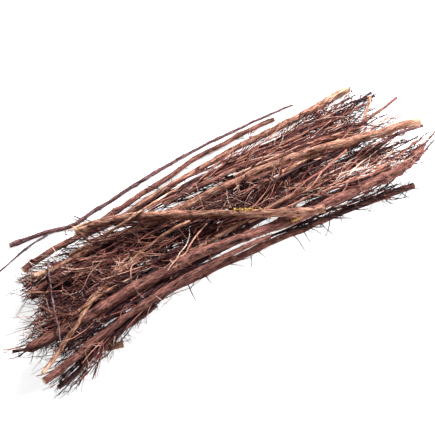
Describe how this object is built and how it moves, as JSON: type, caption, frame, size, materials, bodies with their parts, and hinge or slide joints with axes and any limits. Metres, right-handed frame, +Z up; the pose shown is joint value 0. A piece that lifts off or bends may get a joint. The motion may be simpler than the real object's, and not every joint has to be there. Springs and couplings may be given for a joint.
{
  "type": "bundle of twigs",
  "caption": "Loose bundle of cut heather brushwood lying on its side: thick bark-covered sticks and finer branching sprays heaped roughly side by side, with no tie.",
  "frame": {"origin": "middle of the bundle's footprint, on the ground that it lies on", "axes": "+X along the bundle towards its finer right end, +Z up from the ground"},
  "size_m": [0.5082, 0.2206, 0.0551],
  "materials": {
    "red_bark": "rough reddish-brown fibrous bark",
    "orange_bark": "rough orange-brown fibrous bark",
    "dark_bark": "rough dark brown bark",
    "tan_bark": "smooth tan bark",
    "grey_bark": "matt grey-brown twig bark"
  },
  "bodies": {
    "root": {"ground_stick_1": "dark_bark", "ground_stick_2": "red_bark", "ground_stick_3": "dark_bark", "ground_stick_4": "red_bark", "ground_stick_5": "dark_bark", "pale_stub": "tan_bark", "near_edge_stick": "red_bark", "near_fan_stick": "dark_bark", "inner_spray_1": "grey_bark", "inner_spray_2": "grey_bark", "inner_spray_3": "grey_bark", "inner_spray_4": "grey_bark", "inner_stick_1": "red_bark", "inner_stick_2": "dark_bark", "inner_stick_3": "red_bark", "inner_stick_4": "dark_bark", "inner_stick_5": "red_bark", "inner_spray_5": "grey_bark", "inner_spray_6": "grey_bark", "far_thin_stick": "dark_bark", "far_thin_branch": "grey_bark", "far_stick_1": "red_bark", "far_stick_2": "orange_bark", "far_spray_1": "grey_bark", "far_spray_2": "grey_bark", "pale_cut_stick": "red_bark", "right_tan_stick": "tan_bark", "right_thin_stick": "red_bark", "far_spray_3": "grey_bark", "left_spray_1": "grey_bark", "right_dark_stick": "dark_bark", "right_spray_1": "grey_bark", "right_spray_2": "grey_bark", "left_spray_2": "grey_bark", "left_spray_3": "grey_bark", "left_spray_5": "grey_bark", "left_spray_4": "grey_bark", "near_spray_1": "grey_bark", "near_spray_3": "grey_bark", "near_spray_2": "dark_bark", "left_red_stick": "red_bark", "near_inner_stick": "dark_bark", "front_stick": "red_bark", "middle_spray_1": "grey_bark", "middle_spray_2": "grey_bark", "middle_brown_stick": "orange_bark", "ridge_stick": "orange_bark", "forked_twig": "orange_bark", "near_cut_stick": "red_bark", "diagonal_stick": "orange_bark", "pale_thin_twig": "tan_bark", "long_tan_twig": "tan_bark", "short_tan_twig": "tan_bark", "crossing_thin_twig": "grey_bark"}
  },
  "joints": []
}
